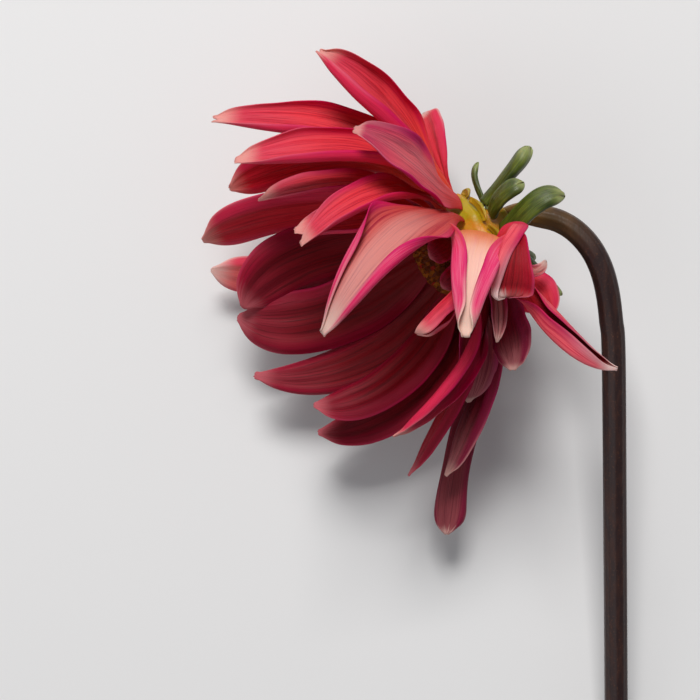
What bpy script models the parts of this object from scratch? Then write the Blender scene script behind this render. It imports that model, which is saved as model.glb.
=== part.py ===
"""A cut dahlia lying on its side: a drooping head of curled petals on a hooked stem.

Lengths are in millimetres until MM turns them into metres. The head's centre, in the plane of
the outer petals' seats, is the origin while the pieces are made. X and Y lie on the surface, +Z is up.
A heading is a pair of angles in degrees: a bearing in the XY plane, counted from +X, and a climb.
"""
import math
from collections import namedtuple

import bmesh
import bpy
from mathutils import Matrix, Vector

MM = 0.001

# Driving dimensions.
AXIS_BEARING = 212.0      # the way the flower faces
SEAT_RINGS = ((10.1, -1.2), (9.6, 0.6), (9.0, 2.3), (8.2, 3.8))   # radius and advance of each row
PETAL_THICKNESS = 0.45
PETAL_ROWS = 9            # faces along a petal
PETAL_COLUMNS = 6         # faces across a petal
CLAW_WIDTH = 3.3          # a petal's width at its seat
SHOULDER = 0.4            # how far along a blade is at its full width
TIP_SHARE = 0.10          # the tip's width as a share of the full width
STEM_RADIUS = 2.4

SIDES = 28                # of the turned pieces
FINE_STEPS = 72           # of the sums along a petal
FINE_SIDE = 24            # of the sums across half a petal

Petal = namedtuple("Petal", "name azimuth ring length width course cup roll turn bluntness")
Bract = namedtuple("Bract", "name azimuth length width course cup turn")

# Seat azimuths count from the side of the head that is uppermost on the stem, by way of +Z.
PETALS = (
    Petal("petal_outer_1", 10, 0, 40, 18, ((112, 5), (138, 20), (140, -10)), 30, 210, (-10, -30), 2.6),
    Petal("petal_outer_2", 36, 0, 31, 14, ((158, 56), (142, 38), (168, -5)), 20, 110, (-25, -45), 2.6),
    Petal("petal_outer_3", 88.5, 0, 31, 17.5, ((248, 84), (255, 42), (270, -25)), 20, 205, (42, 50), 2.4),
    Petal("petal_outer_4", 113, 0, 26, 9.6, ((206, 172), (240, 64), (302, -58)), 20, -90, (30, 0), 2.6),
    Petal("petal_outer_5", 143, 0, 34, 13, ((324, 56), (308, 22), (342, -2)), 30, -170, (-20, -70), 2.6),
    Petal("petal_outer_6", 165, 0, 12.5, 9, ((332, 44), (322, 14), (268, -10)), 30, 60, (-30, -20), 3),
    Petal("petal_outer_7", 215, 0, 58, 12, ((266, -30), (256, -15), (268, 2)), 40, 190, (0, -45), 12),
    Petal("petal_outer_8", 337, 0, 26, 9, ((108, -8), (98, -50), (90, -88)), 50, 90, (0, 0), 4),
    Petal("petal_outer_9", 240, 0, 28.4, 13, ((306, -62), (303, -62), (300, -56)), 40, 100, (0, 0), 3),
    Petal("petal_outer_10", 265, 0, 40, 13, ((250, -85), (232, -33), (225, -3)), 30, 120, (0, 0), 3),
    Petal("petal_outer_11", 288, 0, 40, 13, ((150, -76), (170, -34), (190, -2)), 30, 120, (0, 0), 3),
    Petal("petal_outer_12", 312, 0, 40, 13, ((112, -52), (142, -45), (168, -4)), 30, 120, (0, 0), 3),

    Petal("petal_middle_1", 3, 1, 52, 15, ((122, 8), (166, 4), (178, -8)), 30, 180, (-20, -50), 3),
    Petal("petal_middle_3", 58, 1, 50, 17, ((164, 70), (220, 33), (242, -46)), 30, 208, (10, 20), 2.6),
    Petal("petal_middle_4", 127.5, 1, 18.5, 7, ((280, 64), (276, 26), (262, -14)), 40, 130, (40, 70), 3),
    Petal("petal_middle_5", 169, 1, 19, 11, ((278, 25), (280, 20), (278, -12)), 40, 120, (-20, -60), 3),
    Petal("petal_middle_6", 189, 1, 44, 12, ((260, 0), (244, -14), (244, -2)), 40, 180, (0, 0), 3),
    Petal("petal_middle_7", 213, 1, 43, 10, ((283, 0), (254, -10), (250, -10)), 40, 140, (0, 0), 3),
    Petal("petal_middle_8", 250, 1, 44, 13, ((256, -50), (235, -15), (220, -4)), 40, 120, (0, 0), 3),
    Petal("petal_middle_9", 276, 1, 44, 13, ((184, -76), (206, -32), (200, 3)), 40, 120, (0, 0), 3),
    Petal("petal_middle_10", 302, 1, 58, 16, ((176, -55), (201, -13), (158, 4)), 40, 120, (0, 0), 5),
    Petal("petal_middle_2", 334, 1, 44, 13, ((128, -25), (164, -22), (176, -5)), 40, 120, (0, 0), 3),

    Petal("petal_inner_1", 20, 2, 48, 14, ((112, 40), (174, 15), (186, -12)), 30, 180, (-15, -45), 3),
    Petal("petal_inner_2", 39.3, 2, 37, 11.2, ((124, 50), (196, 18), (221, -18)), 30, 170, (5, -10), 3),
    Petal("petal_inner_3", 106.5, 2, 24, 12, ((256, 38), (232, 40), (220, -12)), 40, -190, (130, 140), 4),
    Petal("petal_inner_4", 160, 2, 38, 13, ((272, 18), (236, 5), (220, -10)), 40, 200, (0, 0), 3),
    Petal("petal_inner_5", 225, 2, 52, 13, ((262, -16), (226, -17), (186, 0)), 40, 160, (0, 0), 4),
    Petal("petal_inner_6", 262, 2, 56, 15, ((246, -28), (212, -10), (168, -2)), 40, 130, (0, 0), 3),
    Petal("petal_inner_7", 302, 2, 48, 16, ((198, -34), (192, -1), (240, -3)), 40, 100, (0, 0), 3),
    Petal("petal_inner_8", 354, 2, 48, 13, ((122, -4), (178, -12), (206, 4)), 40, 140, (0, 30), 3),

    Petal("petal_centre_1", 342, 3, 49, 15, ((163, -18), (186, -1), (202, -2)), 40, 140, (0, 20), 3),
    Petal("petal_centre_2", 285, 3, 50, 15, ((213, -28), (206, -9), (155, 0)), 40, 100, (0, 0), 3),
    Petal("petal_centre_3", 243, 3, 45, 12, ((250, -13), (226, 0), (180, -4)), 40, 140, (0, 0), 3),
    Petal("petal_centre_4", 12, 3, 38, 12, ((132, 16), (180, 2), (194, -4)), 30, 140, (-10, -20), 3),
    Petal("petal_centre_5", 42, 3, 31, 12, ((164, 34), (186, 10), (190, -12)), 30, 140, (-10, -20), 3),
)

BRACT_THICKNESS = 2.0
BRACT_RING = (5.3, -5.6)
BRACT_FACES = (6, 4)      # along and across
BRACT_CLAW = 0.7          # a bract's width at its seat, as a share of its full width
BRACT_BLUNTNESS = 4
BRACTS = (
    Bract("bract_1", 13, 14.5, 6, ((50, 10), (50, 20), (56, 0)), 60, (0, 0)),
    Bract("bract_2", 64, 10, 4.6, ((84, 50), (46, 30), (20, 0)), 60, (0, 0)),
    Bract("bract_3", 110, 16, 5.6, ((26, 66), (44, 20), (-20, -10)), 60, (0, 0)),
    Bract("bract_4", 334, 9.5, 2.2, ((98, -12), (108, -10), (50, 0)), 60, (0, 0)),
    Bract("bract_5", 181, 14.5, 3.4, ((334, -26), (310, -10), (334, 0)), 60, (0, 0)),
    Bract("bract_6", 240, 11, 3.8, ((320, -54), (330, -42), (350, -20)), 60, (0, 0)),
    Bract("bract_7", 292, 11, 4.4, ((90, -60), (60, -40), (40, -20)), 60, (0, 0)),
)

# The thin inner bracts stand evenly round the receptacle, behind the petals.
INNER_BRACT_COUNT = 8
INNER_BRACT_RING = (8.2, -3.3)
INNER_BRACT_FIRST = 14    # the first one's azimuth
INNER_BRACT_LENGTH = 3.0
INNER_BRACT_WIDTH = 5.0
INNER_BRACT_THICKNESS = 0.8
INNER_BRACT_LEAN = 0.8    # backwards, for each millimetre outwards
INNER_BRACT_CUP = 20
INNER_BRACT_FACES = (4, 4)
INNER_BRACT_CLAW = 0.6
INNER_BRACT_BLUNTNESS = 3

# Outlines of the turned pieces: radius and advance, from the front's middle to the back's.
RECEPTACLE_OUTLINE = (
    (0, 4.9), (4.0, 4.8), (6.7, 4.2), (7.9, 2.4), (8.7, 0.8), (9.2, -1.0), (8.9, -2.2), (7.4, -3.4),
    (4.6, -4.6), (3.4, -5.8), (2.7, -7.6), (0, -7.6),
)
DISC_OUTLINE = (
    (0, 5.2), (4.0, 5.1), (6.6, 5.0), (7.9, 6.4), (8.3, 8.4), (7.6, 10.6), (5.4, 12.2), (2.6, 12.8),
    (0, 13.0),
)

# The stem's midline from the neck to the cut end.
STEM_ROUTE = (
    (6.7, 4.2, 0.0), (7.6, 4.75, 0.0), (10.0, 5.3, 0.2), (13.2, 4.7, 0.3), (16.8, 3.8, 0.3),
    (20.2, 1.8, 0.2), (23.2, -1.4, 0.0), (25.4, -5.4, -0.5), (26.8, -10.0, -1.3), (27.8, -16.0, -2.8),
    (28.6, -24.0, -4.8), (30.0, -60.0, -13.4), (31.4, -96.0, -22.2), (32.8, -135.0, -31.6),
)


def unit(bearing, climb):
    """The direction of a heading."""
    b, c = math.radians(bearing), math.radians(climb)
    return Vector((math.cos(c) * math.cos(b), math.cos(c) * math.sin(b), math.sin(c)))


def heading_of(direction):
    """The heading of a direction, the other way round."""
    climb = math.asin(direction.normalized().z)
    return math.degrees(math.atan2(direction.y, direction.x)), math.degrees(climb)


AXIS = unit(AXIS_BEARING, 0)
TOP_SIDE = unit(AXIS_BEARING - 90, 0)
UP = Vector((0, 0, 1))


def smooth(x):
    """Zero below 0, one above 1, and an even ease between."""
    x = min(max(x, 0.0), 1.0)
    return x * x * (3 - 2 * x)


def seat_direction(azimuth):
    a = math.radians(azimuth)
    return math.cos(a) * TOP_SIDE + math.sin(a) * UP


def seat_point(azimuth, ring):
    radius, advance = ring
    return radius * seat_direction(azimuth) + advance * AXIS


def heading_at(course, s):
    """The heading at s, on the even curve through the headings at the base, middle and tip."""
    early, mid, late = (2 * (s - 0.5) * (s - 1), 4 * s * (1 - s), 2 * s * (s - 0.5))
    return (sum(w * h[k] for w, h in zip((early, mid, late), course)) for k in (0, 1))


def blade_frames(azimuth, length, course, turn):
    """Point, tangent, across and front at each fine step of a blade, from its seat to its tip."""
    point = Vector()
    tangent = unit(*course[0])
    front = AXIS - seat_direction(azimuth)
    frames = []
    for i in range(FINE_STEPS + 1):
        s = i / FINE_STEPS
        tangent = unit(*heading_at(course, s))
        front = (front - tangent * front.dot(tangent)).normalized()
        twist = math.radians(turn[0] + (turn[1] - turn[0]) * s)
        turned = Matrix.Rotation(twist, 3, tangent) @ front
        frames.append((point.copy(), tangent, turned.cross(tangent), turned))
        point = point + unit(*heading_at(course, s + 0.5 / FINE_STEPS)) * length / FINE_STEPS
    return frames


def width_at(s, claw, bluntness):
    """A blade's width as a share of its full width: a claw, a broad middle and a tip."""
    if s < SHOULDER:
        return claw + (1 - claw) * smooth(s / SHOULDER)
    return max(1 - ((s - SHOULDER) / (1 - SHOULDER)) ** bluntness, TIP_SHARE)


def section(half_width, cup, roll):
    """Offsets across and to the front at each fine step from the midline to one margin."""
    across = out = 0.0
    offsets = [(0.0, 0.0)]
    for i in range(FINE_SIDE):
        t = (i + 0.5) / FINE_SIDE
        angle = math.radians(cup * t - roll * t ** 1.8)
        across += math.cos(angle) * half_width / FINE_SIDE
        out += math.sin(angle) * half_width / FINE_SIDE
        offsets.append((across, out))
    return offsets


def blade_point(frames, s, t, width, claw, bluntness, cup, roll):
    """A point of the blade's middle surface, s along it and t across it from -1 to 1."""
    point, tangent, across, front = frames[round(s * FINE_STEPS)]
    half_width = width / 2 * width_at(s, claw, bluntness)
    opening = smooth(s / SHOULDER)
    tip = smooth(s * 4 - 3)
    offsets = section(half_width, cup * (1 - 0.7 * opening), roll * opening * (1 - 0.45 * tip))
    x, y = offsets[round(abs(t) * FINE_SIDE)]
    return point + across * math.copysign(x, t) + front * y


def material(name, colour, roughness):
    made = bpy.data.materials.new(name)
    made.use_nodes = True
    shader = made.node_tree.nodes["Principled BSDF"]
    shader.inputs["Base Color"].default_value = (*colour, 1)
    shader.inputs["Roughness"].default_value = roughness
    shader.inputs["Metallic"].default_value = 0
    return made


def add_object(name, data, collection, parent, place, surface):
    made = bpy.data.objects.new(name, data)
    collection.objects.link(made)
    made.parent = parent
    made.location = place * MM
    data.materials.append(surface)
    return made


def add_blade(name, seat, frames, faces, thickness, shape, collection, parent, surface):
    """A petal or bract: a flat sheet of faces along and across, bent to its course and made solid."""
    mesh = bpy.data.meshes.new(name)
    sheet = bmesh.new()
    bmesh.ops.create_grid(sheet, x_segments=faces[0], y_segments=faces[1], size=1)
    for vertex in sheet.verts:
        s = (vertex.co.x + 1) / 2
        t = math.copysign(abs(vertex.co.y) ** 0.75, vertex.co.y)
        vertex.co = blade_point(frames, s, t, *shape) * MM
    sheet.to_mesh(mesh)
    sheet.free()
    made = add_object(name, mesh, collection, parent, seat, surface)
    solidify = made.modifiers.new("Thickness", "SOLIDIFY")
    solidify.thickness = thickness * MM
    solidify.offset = 0
    return made


def add_turned(name, outline, collection, parent, surface):
    """A solid turned about the head's axis, from (radius, advance) points."""
    mesh = bpy.data.meshes.new(name)
    profile = bmesh.new()
    points = [profile.verts.new((radius * MM, 0, advance * MM)) for radius, advance in outline]
    for first, second in zip(points, points[1:]):
        profile.edges.new((first, second))
    profile.to_mesh(mesh)
    profile.free()
    made = add_object(name, mesh, collection, parent, Vector(), surface)
    screw = made.modifiers.new("Turn", "SCREW")
    screw.axis = "Z"
    screw.steps = screw.render_steps = SIDES
    screw.use_merge_vertices = True
    screw.merge_threshold = 0.00001
    screw.use_normal_calculate = True
    return made


def smooth_route(route, per_span):
    """Points on the smooth curve that passes through a route's points."""
    points = [Vector(p) for p in route]
    ends = [2 * points[0] - points[1], *points, 2 * points[-1] - points[-2]]
    curve = []
    for before, start, end, after in zip(ends, ends[1:], ends[2:], ends[3:]):
        for i in range(per_span):
            t = i / per_span
            curve.append(0.5 * (2 * start + (end - before) * t
                                + (2 * before - 5 * start + 4 * end - after) * t * t
                                + (3 * start - before - 3 * end + after) * t ** 3))
    curve.append(points[-1])
    return curve


def add_stem(collection, parent, surface):
    curve = bpy.data.curves.new("stem", "CURVE")
    curve.dimensions = "3D"
    curve.bevel_depth = STEM_RADIUS * MM
    curve.bevel_resolution = 2
    curve.use_fill_caps = True
    points = smooth_route(STEM_ROUTE, 3)
    spline = curve.splines.new("POLY")
    spline.points.add(len(points) - 1)
    for place, point in zip(points, spline.points):
        point.co = (*(place * MM), 1)
    return add_object("stem", curve, collection, parent, Vector(), surface)


def head_empty(collection, root):
    """An empty at the head's centre whose Z is the flower's axis and X its uppermost side."""
    head = bpy.data.objects.new("head", None)
    collection.objects.link(head)
    head.parent = root
    turn = Matrix((TOP_SIDE, AXIS.cross(TOP_SIDE), AXIS)).transposed()
    head.rotation_euler = turn.to_euler()
    return head


def rest_on_origin(root, collection):
    """Moves the root so that the flower's box stands with the middle of its bottom on the origin."""
    bpy.context.view_layer.update()
    graph = bpy.context.evaluated_depsgraph_get()
    corners = []
    for made in collection.objects:
        if made.type != "EMPTY":
            shape = made.evaluated_get(graph).to_mesh()
            corners += [made.matrix_world @ vertex.co for vertex in shape.vertices]
            made.evaluated_get(graph).to_mesh_clear()
    low = [min(c[k] for c in corners) for k in range(3)]
    high = [max(c[k] for c in corners) for k in range(3)]
    root.location = (-(low[0] + high[0]) / 2, -(low[1] + high[1]) / 2, -low[2])


def main():
    for old in list(bpy.data.objects):
        bpy.data.objects.remove(old)
    collection = bpy.data.collections.new("dahlia_flower")
    bpy.context.scene.collection.children.link(collection)
    root = bpy.data.objects.new("dahlia_root", None)
    collection.objects.link(root)
    head = head_empty(collection, root)

    petal_red = material("petal_red", (0.55, 0.03, 0.10), 0.55)
    bract_green = material("bract_green", (0.10, 0.19, 0.04), 0.5)
    inner_bract_yellow = material("inner_bract_yellow", (0.42, 0.42, 0.08), 0.5)
    receptacle_yellow = material("receptacle_yellow", (0.42, 0.42, 0.08), 0.5)
    stem_purple = material("stem_purple", (0.13, 0.07, 0.06), 0.5)
    disc_brown = material("disc_brown", (0.20, 0.10, 0.03), 0.8)

    add_turned("receptacle", RECEPTACLE_OUTLINE, collection, head, receptacle_yellow)
    add_turned("disc_florets", DISC_OUTLINE, collection, head, disc_brown)
    add_stem(collection, root, stem_purple)
    for petal in PETALS:
        frames = blade_frames(petal.azimuth, petal.length, petal.course, petal.turn)
        shape = (petal.width, CLAW_WIDTH / petal.width, petal.bluntness, petal.cup, petal.roll)
        seat = seat_point(petal.azimuth, SEAT_RINGS[petal.ring])
        add_blade(petal.name, seat, frames, (PETAL_ROWS, PETAL_COLUMNS), PETAL_THICKNESS, shape,
                  collection, root, petal_red)
    for bract in BRACTS:
        frames = blade_frames(bract.azimuth, bract.length, bract.course, bract.turn)
        shape = (bract.width, BRACT_CLAW, BRACT_BLUNTNESS, bract.cup, 0)
        add_blade(bract.name, seat_point(bract.azimuth, BRACT_RING), frames, BRACT_FACES, BRACT_THICKNESS,
                  shape, collection, root, bract_green)
    for i in range(INNER_BRACT_COUNT):
        azimuth = INNER_BRACT_FIRST + 360 * i / INNER_BRACT_COUNT
        course = (heading_of(seat_direction(azimuth) - INNER_BRACT_LEAN * AXIS),) * 3
        frames = blade_frames(azimuth, INNER_BRACT_LENGTH, course, (0, 0))
        shape = (INNER_BRACT_WIDTH, INNER_BRACT_CLAW, INNER_BRACT_BLUNTNESS, INNER_BRACT_CUP, 0)
        add_blade(f"inner_bract_{i + 1}", seat_point(azimuth, INNER_BRACT_RING), frames, INNER_BRACT_FACES,
                  INNER_BRACT_THICKNESS, shape, collection, root, inner_bract_yellow)
    rest_on_origin(root, collection)


main()
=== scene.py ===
"""A cut dahlia lying on its side: the finished petals, bracts, disc and stem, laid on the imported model.

Lengths are in millimetres until MM turns them into metres. While a piece is shaped, the origin is the
head's centre, in the plane of the outer petals' seats. X and Y lie on the surface and +Z is up. A heading
is a pair of angles in degrees: a bearing in the XY plane, counted from +X, and a climb.
"""

import math
import random
from collections import namedtuple

import bmesh
import bpy
import numpy as np
from mathutils import Matrix, Vector, noise


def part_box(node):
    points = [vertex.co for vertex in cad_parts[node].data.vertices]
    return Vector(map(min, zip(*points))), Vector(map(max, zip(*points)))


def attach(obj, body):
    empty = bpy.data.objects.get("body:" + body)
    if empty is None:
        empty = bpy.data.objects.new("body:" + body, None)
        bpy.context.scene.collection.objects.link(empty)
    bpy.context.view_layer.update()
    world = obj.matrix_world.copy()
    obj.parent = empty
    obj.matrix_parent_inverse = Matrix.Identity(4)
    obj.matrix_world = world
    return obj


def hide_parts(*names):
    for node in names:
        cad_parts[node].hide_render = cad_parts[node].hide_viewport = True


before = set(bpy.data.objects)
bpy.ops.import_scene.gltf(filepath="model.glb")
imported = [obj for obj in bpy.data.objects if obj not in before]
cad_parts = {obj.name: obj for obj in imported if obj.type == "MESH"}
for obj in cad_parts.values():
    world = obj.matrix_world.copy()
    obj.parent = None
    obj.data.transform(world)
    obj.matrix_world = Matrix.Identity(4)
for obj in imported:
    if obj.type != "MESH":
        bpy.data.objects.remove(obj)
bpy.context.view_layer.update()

MM = 0.001

# The head: its way of facing, and the rows that the petals are seated in, as radius and advance.
AXIS_BEARING = 212.0
SEAT_RINGS = ((10.1, -1.2), (9.6, 0.6), (9.0, 2.3), (8.2, 3.8))

# Petals.
PETAL_ROWS = 64           # faces along
PETAL_COLUMNS = 32        # faces across
PETAL_THICKNESS = 0.42
SHOULDER = 0.4            # how far along a blade is at its full width
TIP_SHARE = 0.05          # a blade's least width, as a share of its full width
ROUND_TIP = 0.09          # the width of a petal's rounded tip, as a share of its full width
FINE_STEPS = 128          # of the sums along a blade
FINE_SIDE = 48            # of the sums across half a blade
COLUMN_POWER = 0.75       # under 1, it sets a blade's columns closer together toward its margins

# A petal's ring is its row of seats. A course is a blade's heading at its base, at its middle and at its
# tip. Across it, each half bends to the front by cup degrees, and its margins turn back by roll degrees.
# turn is how far it is twisted about its own length, at its base and at its tip.
Petal = namedtuple("Petal", "name azimuth ring length width course cup roll turn")
Bract = namedtuple("Bract", "name azimuth length width course cup turn")

# Seat azimuths count from the side of the head that is uppermost on the stem, by way of +Z. The petals
# between these two lie low in the head.
DEEP_AZIMUTHS = (185, 320)
PETALS = (
    Petal("petal_outer_1", 10, 0, 40, 18, ((122, 5), (136, 20), (138, -10)), 30, 210, (-10, -30)),
    Petal("petal_outer_2", 36, 0, 31, 14, ((158, 56), (142, 38), (168, -5)), 20, 110, (-25, -45)),
    Petal("petal_outer_3", 88.5, 0, 31, 17.5, ((248, 84), (255, 42), (270, -25)), 20, 205, (42, 50)),
    Petal("petal_outer_4", 113, 0, 28, 9.6, ((208, 164), (240, 62), (272, -50)), 20, -90, (30, 0)),
    Petal("petal_outer_5", 143, 0, 33, 13, ((324, 56), (308, 22), (342, -2)), 30, -170, (-20, -70)),
    Petal("petal_outer_6", 165, 0, 12.5, 9, ((332, 44), (322, 14), (268, -10)), 30, 60, (-30, -20)),
    Petal("petal_outer_7", 215, 0, 58, 12, ((266, -30), (256, -15), (268, 2)), 40, 190, (0, -45)),
    Petal("petal_outer_8", 337, 0, 23.5, 9, ((112, -20), (108, -34), (100, -44)), 50, 90, (40, 60)),
    Petal("petal_outer_9", 240, 0, 28.4, 13, ((306, -62), (303, -62), (300, -56)), 40, 100, (0, 0)),
    Petal("petal_outer_10", 265, 0, 40, 13, ((250, -85), (232, -33), (225, -3)), 30, 120, (0, 0)),
    Petal("petal_outer_11", 288, 0, 40, 13, ((150, -76), (170, -34), (190, -2)), 30, 120, (0, 0)),
    Petal("petal_outer_12", 312, 0, 40, 13, ((112, -52), (142, -45), (168, -4)), 30, 120, (0, 0)),

    Petal("petal_middle_1", 3, 1, 52, 15, ((122, 8), (166, 4), (178, -8)), 30, 180, (-20, -50)),
    Petal("petal_middle_3", 58, 1, 50, 17, ((164, 70), (220, 33), (242, -46)), 30, 208, (10, 20)),
    Petal("petal_middle_4", 127.5, 1, 18.5, 7, ((280, 64), (276, 26), (262, -14)), 40, 130, (40, 70)),
    Petal("petal_middle_5", 169, 1, 19, 11, ((278, 25), (280, 20), (278, -12)), 40, 120, (-20, -60)),
    Petal("petal_middle_6", 189, 1, 44, 12, ((260, 0), (244, -14), (244, -2)), 40, 180, (0, 0)),
    Petal("petal_middle_7", 213, 1, 43, 10, ((283, 0), (254, -10), (250, -10)), 40, 140, (0, 0)),
    Petal("petal_middle_8", 250, 1, 44, 13, ((256, -50), (235, -15), (220, -4)), 40, 120, (0, 0)),
    Petal("petal_middle_9", 276, 1, 44, 13, ((184, -76), (206, -32), (200, 3)), 40, 120, (0, 0)),
    Petal("petal_middle_10", 302, 1, 58, 16, ((176, -55), (201, -13), (158, 4)), 40, 120, (0, 0)),
    Petal("petal_middle_2", 334, 1, 44, 13, ((128, -25), (164, -22), (176, -5)), 40, 120, (0, 0)),

    Petal("petal_inner_1", 20, 2, 48, 14, ((112, 40), (174, 15), (186, -12)), 30, 180, (-15, -45)),
    Petal("petal_inner_2", 39.3, 2, 37, 11.2, ((124, 50), (196, 18), (221, -18)), 30, 170, (5, -10)),
    Petal("petal_inner_3", 106.5, 2, 24, 12, ((256, 38), (232, 40), (220, -12)), 40, -190, (130, 140)),
    Petal("petal_inner_4", 160, 2, 38, 13, ((272, 18), (236, 5), (220, -10)), 40, 200, (0, 0)),
    Petal("petal_inner_5", 225, 2, 52, 13, ((262, -16), (226, -17), (186, 0)), 40, 160, (0, 0)),
    Petal("petal_inner_6", 262, 2, 56, 15, ((246, -28), (212, -10), (168, -2)), 40, 130, (0, 0)),
    Petal("petal_inner_7", 302, 2, 48, 16, ((198, -34), (192, -1), (240, -3)), 40, 100, (0, 0)),
    Petal("petal_inner_8", 354, 2, 48, 13, ((122, -4), (178, -12), (206, 4)), 40, 140, (0, 30)),

    Petal("petal_centre_1", 342, 3, 49, 15, ((163, -18), (186, -1), (202, -2)), 40, 140, (0, 20)),
    Petal("petal_centre_2", 285, 3, 50, 15, ((213, -28), (206, -9), (155, 0)), 40, 100, (0, 0)),
    Petal("petal_centre_3", 243, 3, 45, 12, ((250, -13), (226, 0), (180, -4)), 40, 140, (0, 0)),
    Petal("petal_centre_4", 12, 3, 38, 12, ((132, 16), (180, 2), (194, -4)), 30, 140, (-10, -20)),
    Petal("petal_centre_5", 42, 3, 31, 12, ((164, 34), (186, 10), (190, -12)), 30, 140, (-10, -20)),
)

# Extra petals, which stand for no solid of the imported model: three small ones on the disc's margin, a dark
# one low in the bloom, and a torn and curled scrap beside the neck.
SCRAPS = (
    Petal("scrap_disc_1", 76, 3, 7, 5.5, ((216, 44), (214, 24), (210, -20)), 50, 60, (0, 0)),
    Petal("scrap_disc_2", 112, 3, 8, 5, ((232, 40), (226, 12), (216, -20)), 50, 60, (0, 0)),
    Petal("scrap_low", 172, 3, 25, 10, ((276, 4), (264, -14), (262, -30)), 40, 120, (60, 55)),
    Petal("scrap_disc_3", 140, 3, 7, 4.5, ((240, 30), (226, 10), (216, -10)), 50, 60, (0, 0)),
)
CURL_START = (7.3, -1.8, 11.0)
CURL = Petal("scrap_curl", 0, 0, 10.2, 2.4, ((268, 12), (330, -4), (450, 20)), 30, 60, (20, 60))

# Bracts: fleshy green fingers round the neck.
BRACT_THICKNESS = 0.5      # as a share of its width
BRACT_RING = (5.3, -5.6)
BRACT_CLAW = 0.7
BRACT_BLUNTNESS = 6
BRACT_WAIST = 0.1          # how much narrower its middle is, as a share
BRACT_FACES = (32, 16)     # along and across
BRACTS = (
    Bract("bract_1", 13, 14.5, 6, ((50, 10), (50, 20), (56, 0)), 60, (0, 0)),
    Bract("bract_2", 64, 10, 4.6, ((84, 50), (46, 30), (20, 0)), 60, (0, 0)),
    Bract("bract_3", 110, 16, 5.6, ((26, 66), (44, 20), (-20, -10)), 60, (0, 0)),
    Bract("bract_4", 334, 9.5, 2.2, ((98, -12), (108, -10), (50, 0)), 60, (0, 0)),
    Bract("bract_5", 181, 14.5, 3.4, ((334, -26), (310, -10), (334, 0)), 60, (0, 0)),
    Bract("bract_6", 240, 11, 3.8, ((320, -54), (330, -42), (350, -20)), 60, (0, 0)),
    Bract("bract_7", 292, 11, 4.4, ((90, -60), (60, -40), (40, -20)), 60, (0, 0)),
)

# The thin inner bracts stand evenly round the receptacle, behind the petals.
INNER_BRACT_COUNT = 8
INNER_BRACT_RING = (8.2, -3.3)
INNER_BRACT_FIRST = 14
INNER_BRACT_LENGTH = 1.7
INNER_BRACT_WIDTH = 6.6
INNER_BRACT_THICKNESS = 0.6
INNER_BRACT_LEAN = 0.8
INNER_BRACT_CUP = 34
INNER_BRACT_CLAW = 0.9
INNER_BRACT_BLUNTNESS = 2
INNER_BRACT_FACES = (16, 12)

# Outlines of the turned pieces: radius and advance, from the front's middle to the back's.
RECEPTACLE_OUTLINE = (
    (0, 4.9), (4.0, 4.8), (6.7, 4.2), (7.9, 2.4), (8.7, 0.8), (9.2, -1.0), (8.9, -2.2), (7.4, -3.4),
    (4.8, -4.6), (3.6, -5.7), (2.95, -7.0), (2.7, -8.3), (0, -8.3),
)
DISC_OUTLINE = (
    (0, 5.2), (4.0, 5.1), (6.6, 5.0), (7.9, 6.4), (8.3, 8.4), (7.6, 10.6), (5.4, 12.2), (2.6, 12.8),
    (0, 13.0),
)
TURN_STEPS = 96

# Under its florets the disc keeps these shares of its outline's radius and advance. The florets stand in a
# golden spiral on a flattened dome.
DISC_CORE = (0.84, 0.8)
FLORET_COUNT = 280
FLORET_REACH = math.radians(104)      # how far they go from the dome's top
DOME_RADIUS = 7.2
DOME_HEIGHT = 4.6
DOME_CENTRE = 7.0
GOLDEN_ANGLE = math.pi * (3 - math.sqrt(5))

# The stem's midline from the neck to the cut end.
STEM_RADIUS = 2.4
STEM_ROUTE = (
    (6.7, 4.2, 0.0), (7.6, 4.75, 0.0), (10.0, 5.3, 0.2), (13.2, 4.7, 0.3), (16.8, 3.8, 0.3),
    (20.2, 1.8, 0.2), (23.2, -1.4, 0.0), (25.4, -5.4, -0.5), (26.8, -10.0, -1.3), (27.8, -16.0, -2.8),
    (28.6, -24.0, -4.8), (30.0, -60.0, -13.4), (31.4, -96.0, -22.2), (32.8, -135.0, -31.6),
)
STEM_RIBS = 11
STEM_AROUND = 66          # faces round it
STEM_STEPS = 14           # faces along each span of its route
NECK_LENGTH = 22.0        # over which it widens to its full girth

# The view: straight down, over a point a little to the left of the head and below it.
VIEW_OFFSET = Vector((-24.8, -22.0, 400.0))
VIEW_WIDTH = 140.0        # what the view takes in, in the plane of the head's centre
SENSOR = 36.0             # the width that the camera's lens length goes by


# ---------------------------------------------------------------- directions and courses

def unit(bearing, climb):
    """The direction of a heading."""
    b, c = math.radians(bearing), math.radians(climb)
    return Vector((math.cos(c) * math.cos(b), math.cos(c) * math.sin(b), math.sin(c)))


def heading_of(direction):
    """The heading of a direction, the other way round."""
    climb = math.asin(direction.normalized().z)
    return math.degrees(math.atan2(direction.y, direction.x)), math.degrees(climb)


AXIS = unit(AXIS_BEARING, 0)
TOP_SIDE = unit(AXIS_BEARING - 90, 0)
UP = Vector((0, 0, 1))
FROM_HEAD = Matrix((TOP_SIDE, AXIS.cross(TOP_SIDE), AXIS)).transposed()


def head_centre():
    """The head's centre in the frame, from the middle of the receptacle's box."""
    low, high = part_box("receptacle")
    reach = [[a * AXIS[k] + side * r * TOP_SIDE[k] for r, a in RECEPTACLE_OUTLINE for side in (-1, 1)]
             for k in (0, 1)]
    middle = [(min(values) + max(values)) / 2 * MM for values in reach]
    return (low + high) / 2 - Vector((*middle, 0))


HEAD = head_centre()


def smooth(x):
    """Zero below 0, one above 1, and an even ease between."""
    x = min(max(x, 0.0), 1.0)
    return x * x * (3 - 2 * x)


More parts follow.
